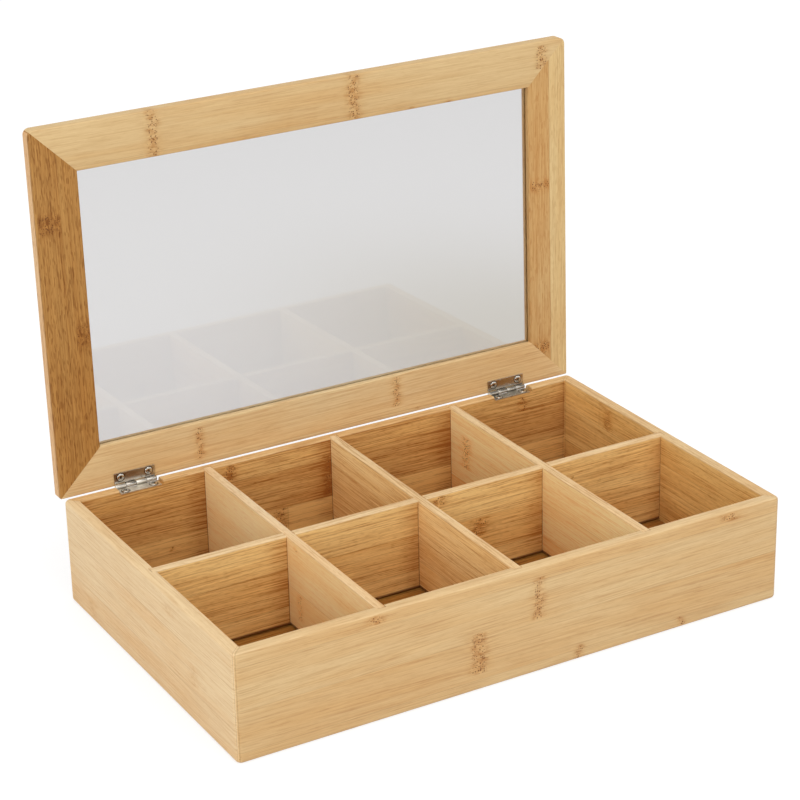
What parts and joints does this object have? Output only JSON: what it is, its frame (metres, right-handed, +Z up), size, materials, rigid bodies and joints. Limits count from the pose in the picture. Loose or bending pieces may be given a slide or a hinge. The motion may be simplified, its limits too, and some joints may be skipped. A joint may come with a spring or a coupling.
{
  "type": "tea bag organizer box",
  "caption": "Low bamboo box with lapped dividers for tea bags, and a mitred lid with a clear pane that swings up on butt hinges.",
  "frame": {"origin": "on the plane the box stands on, midway across the ground that the box and its open lid cover", "axes": "+X along the front towards the right, +Y towards the hinges, +Z up"},
  "size_m": [0.3414, 0.2282, 0.2762],
  "materials": {
    "bamboo_wall": "satin",
    "bamboo_divider": "satin",
    "bamboo_floor": "satin",
    "bamboo_lid": "satin",
    "clear_pane": "gloss",
    "hinge_metal": "nickel plated",
    "screw_metal": "nickel plated"
  },
  "bodies": {
    "box": {"front_wall": "bamboo_wall", "back_wall": "bamboo_wall", "left_wall": "bamboo_wall", "right_wall": "bamboo_wall", "floor_panel": "bamboo_floor", "long_divider": "bamboo_divider", "cross_divider_left": "bamboo_divider", "cross_divider_middle": "bamboo_divider", "cross_divider_right": "bamboo_divider", "hinge_left_box_leaf": "hinge_metal", "hinge_left_pin": "hinge_metal", "hinge_left_box_screws": "screw_metal", "hinge_right_box_leaf": "hinge_metal", "hinge_right_pin": "hinge_metal", "hinge_right_box_screws": "screw_metal"},
    "lid": {"lid_front_rail": "bamboo_lid", "lid_back_rail": "bamboo_lid", "lid_left_stile": "bamboo_lid", "lid_right_stile": "bamboo_lid", "lid_pane": "clear_pane", "hinge_left_lid_leaf": "hinge_metal", "hinge_left_lid_screws": "screw_metal", "hinge_right_lid_leaf": "hinge_metal", "hinge_right_lid_screws": "screw_metal"}
  },
  "joints": [
    {"name": "lid_hinge", "type": "hinge", "parent": "box", "child": "lid", "pos_m": [0, 0.09971, 0.0618], "axis": [1, 0, 0], "range_deg": [0, 91.2]}
  ]
}
